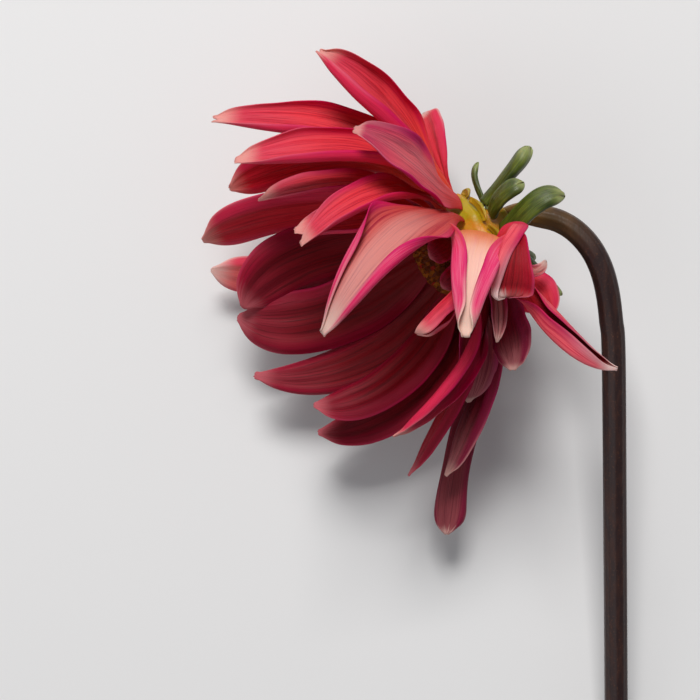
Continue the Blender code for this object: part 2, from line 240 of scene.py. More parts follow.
def seat_direction(azimuth):
    """The direction in which a seat stands from the head's axis."""
    a = math.radians(azimuth)
    return math.cos(a) * TOP_SIDE + math.sin(a) * UP


def seat_point(azimuth, ring):
    radius, advance = ring
    return radius * seat_direction(azimuth) + advance * AXIS


def heading_at(course, s):
    """The heading at s, on the even curve through the headings at the base, middle and tip."""
    early, mid, late = (2 * (s - 0.5) * (s - 1), 4 * s * (1 - s), 2 * s * (s - 0.5))
    return (sum(w * h[k] for w, h in zip((early, mid, late), course)) for k in (0, 1))


def blade_frames(azimuth, length, course, turn):
    """Point, tangent, across and front at each fine step of a blade, from its seat to its tip."""
    point = Vector()
    front = AXIS - seat_direction(azimuth)
    frames = []
    for i in range(FINE_STEPS + 1):
        s = i / FINE_STEPS
        tangent = unit(*heading_at(course, s))
        front = (front - tangent * front.dot(tangent)).normalized()
        twist = math.radians(turn[0] + (turn[1] - turn[0]) * s)
        turned = Matrix.Rotation(twist, 3, tangent) @ front
        frames.append((point.copy(), tangent, turned.cross(tangent), turned))
        point = point + unit(*heading_at(course, s + 0.5 / FINE_STEPS)) * length / FINE_STEPS
    return frames


def width_at(s, claw, bluntness, shoulder=SHOULDER):
    """A blade's width as a share of its full width: a claw, a broad middle and a tip."""
    if s < shoulder:
        return claw + (1 - claw) * smooth(s / shoulder)
    return max(1 - ((s - shoulder) / (1 - shoulder)) ** bluntness, TIP_SHARE)


def section(half_width, cup, roll, crease=0.3, spread=0.6):
    """Offsets across and to the front at each fine step from the midline to one margin.

    The margin turns by roll degrees, from crease on, over the share spread of the half width."""
    t = (np.arange(FINE_SIDE) + 0.5) / FINE_SIDE
    u = np.clip((t - crease) / spread, 0, 1)
    angle = np.radians(cup * t - roll * u * u * (3 - 2 * u))
    across = np.concatenate(([0], np.cumsum(np.cos(angle)))) * half_width / FINE_SIDE
    out = np.concatenate(([0], np.cumsum(np.sin(angle)))) * half_width / FINE_SIDE
    return across, out


def wander(x, y, z=0.0):
    """Smooth noise between about -1 and 1."""
    return noise.noise(Vector((x, y, z)))


# ---------------------------------------------------------------- pieces

def finished(name, body, surface, nodes=()):
    """A piece from a bmesh whose vertices lie about the head's centre, in millimetres."""
    bmesh.ops.transform(body, matrix=Matrix.Translation(HEAD) @ Matrix.Scale(MM, 4), verts=body.verts)
    mesh = bpy.data.meshes.new(name)
    body.to_mesh(mesh)
    body.free()
    mesh.shade_smooth()
    mesh.materials.append(surface)
    piece = bpy.data.objects.new(name, mesh)
    bpy.context.scene.collection.objects.link(piece)
    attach(piece, "root")
    if nodes:
        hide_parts(*nodes)
    return piece


def thin_body(rows, columns, lay, half_thickness, mark):
    """A closed thin body: a flat sheet laid by lay(s, t), doubled, parted and joined round its margin.

    Its vertices keep how far along and across they are, 1 in side on the back, and mark in mark."""
    body = bmesh.new()
    layers = {name: body.verts.layers.float.new(name) for name in ("along", "across", "side", "mark")}
    bmesh.ops.create_grid(body, x_segments=rows, y_segments=columns, size=1)
    for vertex in body.verts:
        s = round((vertex.co.x + 1) / 2 * rows) / rows
        t = math.copysign(abs(vertex.co.y) ** COLUMN_POWER, vertex.co.y)
        vertex[layers["along"]], vertex[layers["across"]], vertex[layers["mark"]] = s, t, mark
        vertex.co = lay(s, t)
    body.normal_update()
    rim = [edge for edge in body.edges if edge.is_boundary]
    copy = bmesh.ops.duplicate(body, geom=body.verts[:] + body.edges[:] + body.faces[:])["geom"]
    back = [item for item in copy if isinstance(item, bmesh.types.BMVert)]
    for vertex in back:
        vertex[layers["side"]] = 1
    normals = [vertex.normal.copy() for vertex in body.verts]
    for vertex, normal in zip(body.verts, normals):
        way = 1 - 2 * vertex[layers["side"]]
        vertex.co += normal * way * half_thickness(vertex[layers["along"]], vertex[layers["across"]])
    bmesh.ops.reverse_faces(body, faces=[item for item in copy if isinstance(item, bmesh.types.BMFace)])
    back_rim = [item for item in copy if isinstance(item, bmesh.types.BMEdge) and item.is_boundary]
    bmesh.ops.bridge_loops(body, edges=rim + back_rim)
    return body


# How a petal differs from a plain one. claw, shoulder and taper shape its outline, and broad scales its
# width. Its margins roll from crease on, over the share spread of the half width, and toward the tip the
# crease shifts by late_crease. left and right scale the roll on each side, and a value under zero turns the
# margin to the front. opens is where along the petal the roll sets in, and tip_roll is what is left of it
# at the tip. skew is the share of width moved from the right side to the left, at the base and at the tip.
# ribs is the depth of the furrows, notch that of the tip's notch, nib how far the tip bends to the front,
# and ruffle the size of the margin's waves.
Habit = namedtuple(
    "Habit",
    "claw shoulder taper crease spread left right "
    "skew opens tip_roll ribs notch nib ruffle late_crease broad",
    defaults=(0.24, 0.38, 2.5, 0.42, 0.58, 0.7, 0.7,
              (0, 0), (0.05, 0.5), 0.6, 0.28, 0.15, 0.4, 0.10, 0.0, 1.0))
PLAIN_HABIT = Habit()
BROAD_HABIT = Habit(taper=4.5, left=0.45, right=0.45, shoulder=0.45)
SCRAP_HABIT = Habit(taper=5, notch=0.1, nib=0.2, ribs=0.05, left=0.4, right=0.4)
HABITS = {
    "petal_outer_1": Habit(claw=0.16, shoulder=0.5, taper=3.0, left=0.68, right=0.68, ribs=0.3, notch=0.9,
                           tip_roll=0.9),
    "petal_outer_2": Habit(claw=0.3, shoulder=0.42, taper=1.9, crease=0.6, spread=0.4, left=0.6, right=0.6,
                           ribs=0.14, notch=0.2, nib=0.3, ruffle=0.25, broad=1.12),
    "petal_outer_3": Habit(claw=0.7, shoulder=0.2, taper=3.0, crease=0.44, spread=0.34, left=0.9, right=1.0,
                           opens=(0.12, 0.55), tip_roll=0.4, ribs=0.12, notch=0.0, nib=-0.6, ruffle=0.06,
                           late_crease=-0.1),
    "petal_outer_4": Habit(claw=0.25, shoulder=0.9, taper=9.0, crease=0.2, spread=0.34, left=0.3, right=2.0,
                           skew=(-0.97, 0.05), opens=(0.1, 0.4), tip_roll=0.7, ribs=0.12, notch=0.5, nib=1.2,
                           ruffle=0.2, late_crease=0.25),
    "petal_outer_5": Habit(claw=0.2, shoulder=0.55, taper=2.2, crease=0.2, spread=0.4, left=0.55, right=0.85,
                           skew=(-0.2, -0.2), ribs=0.1, notch=0.2, nib=0.9, tip_roll=0.9, broad=0.85),
    "petal_outer_6": Habit(claw=0.4, shoulder=0.4, taper=4, left=0.3, right=0.3, notch=1.2, nib=0,
                           ruffle=0.2),
    "petal_outer_7": BROAD_HABIT._replace(taper=18, left=0.85, right=0.85, nib=0, notch=0, broad=0.78),
    "petal_outer_8": Habit(shoulder=0.75, taper=6, notch=0, nib=0, left=0.5, right=0.5),
    "petal_outer_11": Habit(left=1.0, ruffle=0.02, broad=0.9),
    "petal_outer_12": Habit(left=1.0, ruffle=0.02, broad=0.85),
    "petal_middle_1": Habit(shoulder=0.42, taper=2.2, ribs=0.35, notch=1.3),
    "petal_middle_3": Habit(claw=0.16, shoulder=0.5, taper=1.7, crease=0.44, spread=0.5, left=0.9, right=1.0,
                            opens=(0.3, 0.7), tip_roll=1.0, ribs=0.18, notch=0.1, nib=-0.5, ruffle=0.06),
    "petal_middle_4": Habit(taper=3, left=0.6, right=0.6, notch=0.1, nib=0.3, broad=0.6),
    "petal_middle_5": Habit(taper=4, left=0.3, right=0.6, notch=0.2, nib=0.3, ribs=0.1, ruffle=0.2),
    "petal_middle_6": BROAD_HABIT._replace(claw=0.6, shoulder=0.3),
    "petal_middle_10": Habit(claw=0.5, shoulder=0.6, taper=7, left=0.9, right=0.9, notch=0, nib=0, broad=0.7),
    "petal_inner_1": Habit(shoulder=0.5, taper=2.6, ribs=0.3),
    "petal_inner_2": Habit(shoulder=0.45, taper=2.2, left=0.45, right=0.6),
    "petal_inner_3": Habit(shoulder=0.5, taper=9, crease=0.3, spread=0.5, left=0.85, right=0.6, tip_roll=0.9,
                           notch=0, nib=0, ribs=0.1, ruffle=0.15),
    "petal_inner_6": Habit(shoulder=0.35, taper=2.6, left=0.8, right=0.45, notch=0, nib=0, broad=0.9),
    "petal_inner_7": Habit(shoulder=0.45, taper=6, left=0.4, right=0.6, notch=0, nib=0, ruffle=0.2,
                           broad=1.06),
    "petal_inner_8": Habit(shoulder=0.55, taper=5, left=0.3, right=0.3, ribs=0.3),
    "petal_centre_1": Habit(shoulder=0.55, taper=5, left=0.3, right=0.3, ribs=0.3, broad=1.08),
    "petal_centre_2": Habit(shoulder=0.45, taper=6, left=0.6, right=0.45, notch=0, nib=0, ruffle=0.2),
    "petal_centre_4": Habit(shoulder=0.5, taper=4, left=0.4, right=0.4, ribs=0.3),
    "scrap_curl": Habit(claw=0.8, taper=6, notch=0.4, nib=0, ribs=0, left=0.6, right=0.6, ruffle=0.05),
}


def is_deep(petal):
    """Whether a petal is seated on the low side of the head, where the others shade it."""
    return DEEP_AZIMUTHS[0] < petal.azimuth < DEEP_AZIMUTHS[1]


def habit_of(petal):
    """A petal's own habit, or else the one that it shares with its neighbours."""
    if petal.name in HABITS:
        return HABITS[petal.name]
    if petal in SCRAPS:
        return SCRAP_HABIT
    return BROAD_HABIT if is_deep(petal) else PLAIN_HABIT


def petal_body(petal, mark, seat=None):
    """A petal: rolled at its margins, furrowed along its back, with a rounded, pinched or notched tip."""
    habit = habit_of(petal)
    frames = blade_frames(petal.azimuth, petal.length, petal.course, petal.turn)
    seat = seat or seat_point(petal.azimuth, SEAT_RINGS[petal.ring])
    full = petal.width / 2 * habit.broad
    fine_t = np.linspace(0, 1, FINE_SIDE + 1)
    sections = {}

    def side_section(s, way):
        key = (s, way)
        if key not in sections:
            opening = smooth((s - habit.opens[0]) / (habit.opens[1] - habit.opens[0]))
            tip = smooth(s * 4 - 3)
            share = habit.left if way > 0 else habit.right
            wave = 1 + habit.ruffle * wander(s * 5.0, way * 3.1, mark) * opening
            spare = 1 - width_at(s, habit.claw, habit.taper, habit.shoulder)
            half_width = full * (1 - spare + spare * ROUND_TIP * smooth(s * 2 - 0.7))
            half_width *= 1 + way * (habit.skew[0] + (habit.skew[1] - habit.skew[0]) * smooth(s * 1.7 - 0.5))
            half_width *= 1 + 0.09 * wander(s * 4.0, way * 7.7, mark + 5) * smooth(s / 0.3)
            roll = petal.roll * share * opening * (1 - (1 - habit.tip_roll) * tip) * wave
            cup = petal.cup * (1 - 0.7 * smooth(s / 0.4))
            crease = habit.crease + habit.late_crease * smooth(s * 1.6 - 0.6)
            sections[key] = section(half_width, cup, roll, crease, habit.spread)
        return sections[key]

    def lay(s, t):
        point, tangent, across, front = frames[round(s * FINE_STEPS)]
        way = 1 if t >= 0 else -1
        offsets, outs = side_section(s, way)
        x = np.interp(abs(t), fine_t, offsets) * way
        y = np.interp(abs(t), fine_t, outs)
        body = smooth(s / 0.25) * (1 - smooth((s - 0.8) / 0.2))
        furrow = math.cos(math.pi * 3.4 * t + 0.7 * wander(s * 3, 2.0, mark)) * math.exp(-3 * t * t)
        y += habit.ribs * body * furrow
        y += 0.12 * body * wander(s * 9, t * 3, mark + 9)
        y += 4 * habit.ruffle * t * t * smooth(s / 0.4) * wander(s * 6, way * 5.0, mark + 3)
        late = smooth((s - 0.9) / 0.1)
        y += habit.nib * late * late
        z = -habit.notch * smooth((s - 0.93) / 0.07) * max(1 - abs(t) * 1.6, 0)
        z -= 0.8 * petal.width / 2 * ROUND_TIP * (1 - math.sqrt(1 - t * t)) * smooth((s - 0.92) / 0.08)
        z += 0.25 * smooth((s - 0.85) / 0.15) * wander(t * 4, mark, 4.0)
        return seat + point + across * x + front * y + tangent * z

    def half_thickness(s, t):
        base = 1 + 0.35 * (1 - smooth(s / 0.3))
        return PETAL_THICKNESS / 2 * base * (1 - 0.62 * abs(t) ** 3) * (1 - 0.35 * smooth((s - 0.8) / 0.2))

    return thin_body(PETAL_ROWS, PETAL_COLUMNS, lay, half_thickness, mark)


def bract_body(frames, seat, shape, thickness, faces, mark, waist=0.0):
    """A fleshy bract: thick along its middle and rounded off at its margins."""
    width, claw, bluntness, cup = shape
    fine_t = np.linspace(0, 1, FINE_SIDE + 1)

    def lay(s, t):
        point, tangent, across, front = frames[round(s * FINE_STEPS)]
        opening = smooth(s / SHOULDER)
        half_width = width / 2 * width_at(s, claw, bluntness) * (1 - waist * math.sin(math.pi * s) ** 2)
        offsets, outs = section(half_width, cup * (1 - 0.5 * opening), 0)
        x = math.copysign(np.interp(abs(t), fine_t, offsets), t)
        y = np.interp(abs(t), fine_t, outs) + 0.12 * wander(s * 4, t * 2, mark)
        return seat + point + across * x + front * y

    def half_thickness(s, t):
        rounded = math.sqrt(1 - 0.97 * t * t) * math.sqrt(1 - 0.97 * (max(s - 0.8, 0) / 0.2) ** 2)
        return thickness / 2 * rounded * (0.8 + 0.3 * smooth(s * 1.4 - 0.2))

    return thin_body(*faces, lay, half_thickness, mark)


def turned_body(outline, lumps):
    """A solid turned about the head's axis; lumps(angle, radius, advance) scales the radius."""
    body = bmesh.new()
    points = [body.verts.new((radius, 0, advance)) for radius, advance in outline]
    edges = [body.edges.new(pair) for pair in zip(points, points[1:])]
    bmesh.ops.subdivide_edges(body, edges=edges, cuts=3)
    bmesh.ops.spin(body, geom=body.verts[:] + body.edges[:], axis=(0, 0, 1), cent=(0, 0, 0),
                   angle=math.tau, steps=TURN_STEPS, use_merge=True)
    bmesh.ops.remove_doubles(body, verts=body.verts, dist=0.0001)
    for vertex in body.verts:
        radius = math.hypot(vertex.co.x, vertex.co.y)
        share = lumps(math.atan2(vertex.co.y, vertex.co.x), radius, vertex.co.z)
        vertex.co.x *= share
        vertex.co.y *= share
    bmesh.ops.recalc_face_normals(body, faces=body.faces)
    return body


def add_receptacle(surface):
    """The receptacle: a smooth knob with a swollen belt of low lumps behind the petals' seats."""
    def lumps(angle, radius, advance):
        belt = math.exp(-((advance + 2.4) / 1.5) ** 2)
        return 1 + belt * (0.05 + 0.035 * math.cos(11 * angle)) + 0.01 * wander(math.cos(angle) * 3, advance)

    body = turned_body(RECEPTACLE_OUTLINE, lumps)
    bmesh.ops.transform(body, matrix=FROM_HEAD.to_4x4(), verts=body.verts)
    finished("receptacle_flesh", body, surface, ["receptacle"])


def add_floret(body):
    """A disc floret, 1 long, about the Z axis: a narrow tube that widens to a sunk throat."""
    cone = bmesh.ops.create_cone(body, cap_ends=True, segments=6, radius1=0.22, radius2=0.34, depth=1)
    verts = cone["verts"]
    top = max({face for vertex in verts for face in vertex.link_faces}, key=lambda face: face.normal.z)
    inner = bmesh.ops.inset_region(body, faces=[top], thickness=0.10)["faces"]
    bmesh.ops.translate(body, vec=(0, 0, -0.3), verts=top.verts)
    faces = {face for vertex in verts for face in vertex.link_faces} | set(inner) | {top}
    edges = {edge for face in faces for edge in face.edges}
    corners = {vertex for face in faces for vertex in face.verts}
    return [*corners, *edges, *faces]


def add_disc(surface):
    """The disc: a dome set with florets in a golden spiral, the middle ones shorter."""
    floor = DISC_OUTLINE[0][1]
    core = [(r * DISC_CORE[0], floor + (a - floor) * DISC_CORE[1]) for r, a in DISC_OUTLINE]
    body = turned_body(core, lambda *_: 1)
    shade = body.verts.layers.float.new("mark")
    rng = random.Random(11)
    model = add_floret(body)
    for i in range(FLORET_COUNT):
        share = math.sqrt((i + 0.5) / FLORET_COUNT)
        polar = share * FLORET_REACH
        angle = i * GOLDEN_ANGLE
        out = Vector((math.sin(polar) * math.cos(angle), math.sin(polar) * math.sin(angle), math.cos(polar)))
        place = Vector((out.x * DOME_RADIUS, out.y * DOME_RADIUS, DOME_CENTRE + out.z * DOME_HEIGHT))
        lean = (out + Vector((0, 0, 0.5)) + Vector([rng.uniform(-0.12, 0.12) for _ in range(3)])).normalized()
        length = 1.4 + 1.1 * share + rng.uniform(-0.2, 0.3)
        girth = 1.05 + 0.35 * share
        copy = bmesh.ops.duplicate(body, geom=model)["geom"]
        new = [item for item in copy if isinstance(item, bmesh.types.BMVert)]
        mark = rng.random()
        for vertex in new:
            vertex[shade] = mark
        matrix = Matrix.Translation(place) @ lean.to_track_quat("Z", "X").to_matrix().to_4x4()
        bmesh.ops.transform(body, matrix=matrix @ Matrix.Diagonal((girth, girth, length, 1)), verts=new)
    bmesh.ops.delete(body, geom=[item for item in model if isinstance(item, bmesh.types.BMVert)])
    bmesh.ops.transform(body, matrix=FROM_HEAD.to_4x4(), verts=body.verts)
    finished("disc", body, surface, ["disc_florets"])


def smooth_route(route, per_span):
    """Points on the smooth curve that passes through a route's points."""
    points = [Vector(p) for p in route]
    ends = [2 * points[0] - points[1], *points, 2 * points[-1] - points[-2]]
    curve = []
    for before, start, end, after in zip(ends, ends[1:], ends[2:], ends[3:]):
        for i in range(per_span):
            t = i / per_span
            curve.append(0.5 * (2 * start + (end - before) * t
                                + (2 * before - 5 * start + 4 * end - after) * t * t
                                + (3 * start - before - 3 * end + after) * t ** 3))
    curve.append(points[-1])
    return curve


def add_stem(surface):
    """The stem: a grid rolled into a tube along its route, faintly ribbed, with a hollow cut end."""
    points = smooth_route(STEM_ROUTE, STEM_STEPS)
    rows = len(points) - 1
    tangents = [(b - a).normalized() for a, b in zip([points[0], *points], [*points[1:], points[-1]])]
    side = UP.cross(tangents[0]).normalized()
    sides = []
    for tangent in tangents:
        side = (side - tangent * side.dot(tangent)).normalized()
        sides.append(side)
    body = bmesh.new()
    along = body.verts.layers.float.new("along")
    bmesh.ops.create_grid(body, x_segments=rows, y_segments=STEM_AROUND, size=1)
    for vertex in body.verts:
        row = round((vertex.co.x + 1) / 2 * rows)
        angle = (vertex.co.y + 1) * math.pi
        u, v = sides[row], tangents[row].cross(sides[row])
        down = (points[row] - points[0]).length
        girth = STEM_RADIUS * (0.93 + 0.07 * smooth(down / NECK_LENGTH))
        girth *= 1 + 0.012 * wander(row * 0.05, math.cos(angle), math.sin(angle))
        girth += 0.045 * math.cos(STEM_RIBS * angle)
        vertex[along] = row / rows
        vertex.co = points[row] + girth * (math.cos(angle) * u + math.sin(angle) * v)
    bmesh.ops.remove_doubles(body, verts=body.verts, dist=0.001)
    bmesh.ops.holes_fill(body, edges=[edge for edge in body.edges if edge.is_boundary], sides=0)
    bmesh.ops.recalc_face_normals(body, faces=body.faces)
    caps = [face for face in body.faces if len(face.verts) > 4]
    far = min(caps, key=lambda face: face.calc_center_median().y)
    bmesh.ops.inset_region(body, faces=[far], thickness=0.25, depth=0.08)
    bmesh.ops.inset_region(body, faces=[far], thickness=0.75, depth=-0.05)
    bmesh.ops.inset_region(body, faces=[far], thickness=0.15, depth=-2.5)
    bmesh.ops.recalc_face_normals(body, faces=body.faces)
    piece = finished("stem_ribbed", body, surface, ["stem"])
    piece.data.set_sharp_from_angle(angle=math.radians(50))


# ---------------------------------------------------------------- finishes

class Wire:
    """A node's output. Arithmetic on it adds Math nodes to its material."""

    def __init__(self, socket):
        self.socket = socket

    def _math(self, operation, *values):
        tree = self.socket.id_data
        made = tree.nodes.new("ShaderNodeMath")
        made.operation = operation
        for value, place in zip(values, made.inputs):
            join(tree, value, place)
        return Wire(made.outputs[0])

    def __add__(self, other):
        return self._math("ADD", self, other)

    __radd__ = __add__

    def __sub__(self, other):
        return self._math("SUBTRACT", self, other)

    def __rsub__(self, other):
        return self._math("SUBTRACT", other, self)

    def __mul__(self, other):
        return self._math("MULTIPLY", self, other)

    __rmul__ = __mul__

    def size(self):
        return self._math("ABSOLUTE", self)


def join(tree, value, place):
    """Gives a socket a wire or a plain value."""
    if isinstance(value, Wire):
        tree.links.new(value.socket, place)
    elif value is not None:
        place.default_value = (*value, 1) if place.type == "RGBA" and len(value) == 3 else value


def colour(red, green, blue):
    """A colour from its screen values, 0 to 255, as the linear values that a shader takes."""
    return tuple(((c / 255 + 0.055) / 1.055) ** 2.4 if c > 10 else c / 3294.6 for c in (red, green, blue))


class Finish:
    """A material, and the nodes that colour it."""

    def __init__(self, name, **plain):
        self.material = bpy.data.materials.new(name)
        self.material.use_nodes = True
        self.tree = self.material.node_tree
        self.shader = self.tree.nodes["Principled BSDF"]
        self.set(**plain)

    def set(self, **values):
        for name, value in values.items():
            join(self.tree, value, self.shader.inputs[name.replace("_", " ")])

    def node(self, kind, settings=None, values=None, output=0):
        """A node of a kind, with its settings made first, then the values or wires of its sockets."""
        made = self.tree.nodes.new("ShaderNode" + kind)
        settings = dict(settings or {})
        stops = settings.pop("stops", None)
        for name, value in settings.items():
            setattr(made, name, value)
        if stops:
            ramp = made.color_ramp.elements
            while len(ramp) < len(stops):
                ramp.new(0.5)
            for element, (place, tone) in zip(ramp, stops):
                element.position = place
                element.color = (*tone, 1) if len(tone) == 3 else tone
        for name, value in (values or {}).items():
            join(self.tree, value, made.inputs[name])
        return Wire(made.outputs[output])

    def read(self, name):
        """What a piece's vertices keep under a name."""
        return self.node("Attribute", {"attribute_name": name}, output="Fac")

    def place(self, x, y, z):
        return self.node("CombineXYZ", None, {0: x, 1: y, 2: z})

    def grain(self, where, scale, detail=2.0, roughness=0.5):
        """Noise between 0 and 1, finer as scale and detail rise."""
        return self.node("TexNoise", None, {"Vector": where, "Scale": scale, "Detail": detail,
                                            "Roughness": roughness})

    def between(self, value, low, high):
        """Zero where the value is under low, one where it is over high, and eased between."""
        return self.node("MapRange", {"interpolation_type": "SMOOTHSTEP"},
                         {"Value": value, "From Min": low, "From Max": high})

    def blend(self, share, first, second):
        """From the first colour to the second as share goes from 0 to 1."""
        return self.node("Mix", {"data_type": "RGBA"}, {0: share, 6: first, 7: second}, output=2)

    def relief(self, height, depth):
        """A normal from a height, whose full rise is depth millimetres."""
        return self.node("Bump", None, {"Strength": 1.0, "Distance": depth * MM, "Height": height})


# A petal's colours: its front, the stripes and the broad bands there, its base, its back and the streaks
# on it, its rim, the way to its tip, and the tip itself.
Tone = namedtuple("Tone", "front depth band base back streak edge tip nib")
CORAL = Tone(front=colour(202, 22, 38), depth=colour(146, 0, 22), band=colour(210, 36, 76),
             base=colour(222, 60, 24), back=colour(214, 54, 64), streak=colour(166, 4, 36),
             edge=colour(196, 2, 78), tip=colour(204, 66, 92), nib=colour(228, 164, 152))
CRIMSON = CORAL._replace(front=colour(168, 4, 36), back=colour(174, 14, 50), base=colour(120, 4, 14),
                         streak=colour(124, 0, 34), tip=colour(200, 76, 104))
CREAM = Tone(front=colour(210, 44, 88), depth=colour(230, 136, 156), band=colour(210, 30, 94),
             base=colour(214, 112, 42), back=colour(230, 150, 132), streak=colour(206, 54, 82),
             edge=colour(196, 0, 92), tip=colour(212, 150, 146), nib=colour(234, 202, 184))
# The flushed tone's front and stripes are darkened with painted shade, for fronts that lie in a groove or
# under a fold; its back is its own colour.
FLUSHED_SHADED = Tone(front=colour(150, 0, 18), depth=colour(96, 0, 8), band=colour(160, 2, 32),
               base=colour(196, 40, 50), back=colour(226, 84, 94), streak=colour(190, 24, 58),
               edge=colour(178, 2, 74), tip=colour(222, 112, 122), nib=colour(232, 204, 196))
ROSY = Tone(front=colour(204, 44, 58), depth=colour(176, 14, 40), band=colour(208, 44, 78),
            base=colour(190, 30, 28), back=colour(216, 86, 86), streak=colour(184, 26, 58),
            edge=colour(192, 2, 76), tip=colour(218, 124, 118), nib=colour(234, 204, 192))
SHADED = Tone(front=colour(116, 6, 30), depth=colour(84, 0, 22), band=colour(130, 10, 54),
              base=colour(110, 12, 10), back=colour(150, 50, 60), streak=colour(104, 4, 36),
              edge=colour(166, 30, 86), tip=colour(196, 120, 122), nib=colour(222, 176, 164))
DUSKY = Tone(front=colour(202, 22, 74), depth=colour(222, 116, 136), band=colour(202, 8, 84),
             base=colour(180, 26, 22), back=colour(190, 76, 72), streak=colour(140, 8, 44),
             edge=colour(194, 0, 88), tip=colour(206, 136, 134), nib=colour(234, 200, 186))
VEINED = Tone(front=colour(196, 44, 76), depth=colour(150, 0, 56), band=colour(180, 6, 84),
              base=colour(206, 50, 50), back=colour(202, 74, 88), streak=colour(112, 0, 44),
              edge=colour(178, 0, 92), tip=colour(166, 0, 74), nib=colour(214, 150, 140))
# The deep tone is the crimson of the petals that lie low in the head, darkened with painted shade.
DEEP_SHADED = Tone(front=colour(124, 0, 14), depth=colour(70, 0, 6), band=colour(146, 2, 40),
            base=colour(120, 6, 2), back=colour(140, 2, 24), streak=colour(88, 0, 10),
            edge=colour(168, 4, 62), tip=colour(172, 62, 84), nib=colour(200, 104, 112))


def petal_finish(name, tone, pale_share, front_tip=0.15, nib_from=0.9, one_sided=0.0):
    """A petal's skin: striped along its length, with a warm base, pink margins and a pale tip.

    pale_share says how pale its margins and back get, front_tip how much the tip's tone shows on its front,
    nib_from where the pale tip sets in, and one_sided how far that tip keeps to one side."""
    skin = Finish(name, Specular_IOR_Level=0.18, Subsurface_Weight=0.12, Subsurface_Scale=0.0014)
    skin.shader.inputs["Subsurface Radius"].default_value = (1.0, 0.35, 0.25)
    along, across, side, mark = (skin.read(n) for n in ("along", "across", "side", "mark"))
    sway = (skin.grain(skin.place(along * 3, mark * 7, 0.0), 1.0, 1.0) - 0.5) * 0.12
    veins = skin.grain(skin.place(along * 2.2, (across + sway) * 15, mark * 13), 1.0, 3.0, 0.62)
    hairs = skin.grain(skin.place(along * 5.5, (across + sway) * 60, mark * 17), 1.0, 2.0, 0.6)
    cloud = skin.grain(skin.place(along * 3.0, across * 2.2, mark * 3), 1.0, 2.0)
    vein_line = skin.between(veins, 0.46, 0.64)
    hair_line = skin.between(hairs, 0.48, 0.66)
    rim = skin.between(across.size() + (cloud - 0.5) * 0.3, 0.66, 0.98)
    foot = 1 - skin.between(along + (veins - 0.5) * 0.3, 0.06, 0.55)
    late = skin.between(along + (veins - 0.5) * 0.25, 0.55, 1.0)
    paler = 1 - skin.between(across, -0.3, 0.2) * one_sided
    nib = skin.between(along + (veins - 0.5) * 0.12 + side * 0.03, nib_from, 1.0) * paler
    heart = 1 - skin.between(across.size() + (veins - 0.5) * 0.5, 0.15, 0.6)
    heart = heart * skin.between(along, 0.12, 0.4)

    front = skin.blend(late * front_tip, tone.front, tone.tip)
    front = skin.blend(vein_line * 0.55 + (cloud - 0.4) * 0.5, front, tone.depth)
    front = skin.blend(skin.between(across.size() + (cloud - 0.5) * 0.3, 0.4, 0.75) * 0.9, front, tone.band)
    front = skin.blend(hair_line * 0.32 + vein_line * 0.2, front, tone.depth)
    edge = skin.blend(late * paler * pale_share, tone.edge, tone.nib)
    front = skin.blend(skin.between(across.size() + (veins - 0.5) * 0.1, 0.86, 0.99) * 0.9, front, edge)

    pale = skin.between(cloud + (1 - across.size()) * 0.35, 0.35, 0.8) * pale_share
    back = skin.blend(late * 0.75, tone.back, tone.tip)
    back = skin.blend(vein_line * (1 - pale * 0.35) * 0.85 + hair_line * 0.3, back, tone.streak)
    back = skin.blend(heart * max(pale_share - 0.4, 0.0), back, tone.nib)
    back = skin.blend(rim * 0.9, back, edge)

    hue = skin.blend(skin.between(side, 0.3, 0.7), front, back)
    hue = skin.blend(foot * 0.8, hue, tone.base)
    hue = skin.blend(nib * 0.75, hue, tone.nib)
    cells = skin.grain(skin.node("TexCoord", output="Object"), 5200.0, 1.0)
    hue = skin.blend(skin.between(cells, 0.52, 0.78) * 0.05, hue, tone.tip)
    skin.set(Base_Color=hue, Roughness=0.46 + hairs * 0.2,
             Normal=skin.relief(veins * 0.6 + hairs * 0.25 + cells * 0.15, 0.16))
    return skin.material


def bract_finish(name, flesh, light, tip):
    """A bract's skin: waxy green, paler in patches and at its tip."""
    skin = Finish(name, Subsurface_Weight=0.12, Subsurface_Scale=0.0012)
    along, across, mark = (skin.read(n) for n in ("along", "across", "mark"))
    fibres = skin.grain(skin.place(along * 3, across * 14, mark * 5), 1.0, 3.0)
    cloud = skin.grain(skin.place(along * 3, across * 1.5, mark * 9), 1.0, 2.0)
    paler = skin.between(fibres, 0.4, 0.7) * 0.5 + skin.between(cloud, 0.4, 0.7) * 0.4
    hue = skin.blend(paler, flesh, light)
    # The pale tip colour is partly the bract's own pale tip and partly a painted highlight on its rounded
    # end.
    hue = skin.blend(skin.between(along + (cloud - 0.5) * 0.3, 0.78, 1.0) * 0.7, hue, tip)
    skin.set(Base_Color=hue, Roughness=0.34 + fibres * 0.2, Normal=skin.relief(fibres, 0.12))
    return skin.material


def receptacle_finish():
    """The receptacle: smooth yellow-green flesh, ripening to orange in places."""
    skin = Finish("receptacle_flesh", Subsurface_Weight=0.2, Subsurface_Scale=0.002)
    where = skin.node("TexCoord", output="Object")
    broad = skin.grain(where, 190.0, 1.0)
    spots = skin.grain(where, 2400.0, 2.0)
    hue = skin.blend(skin.between(broad, 0.40, 0.62), colour(168, 142, 2), colour(200, 128, 2))
    hue = skin.blend(skin.between(spots, 0.5, 0.75) * 0.25, hue, colour(160, 156, 40))
    skin.set(Base_Color=hue, Roughness=0.42 + spots * 0.15, Normal=skin.relief(spots, 0.08))
    return skin.material


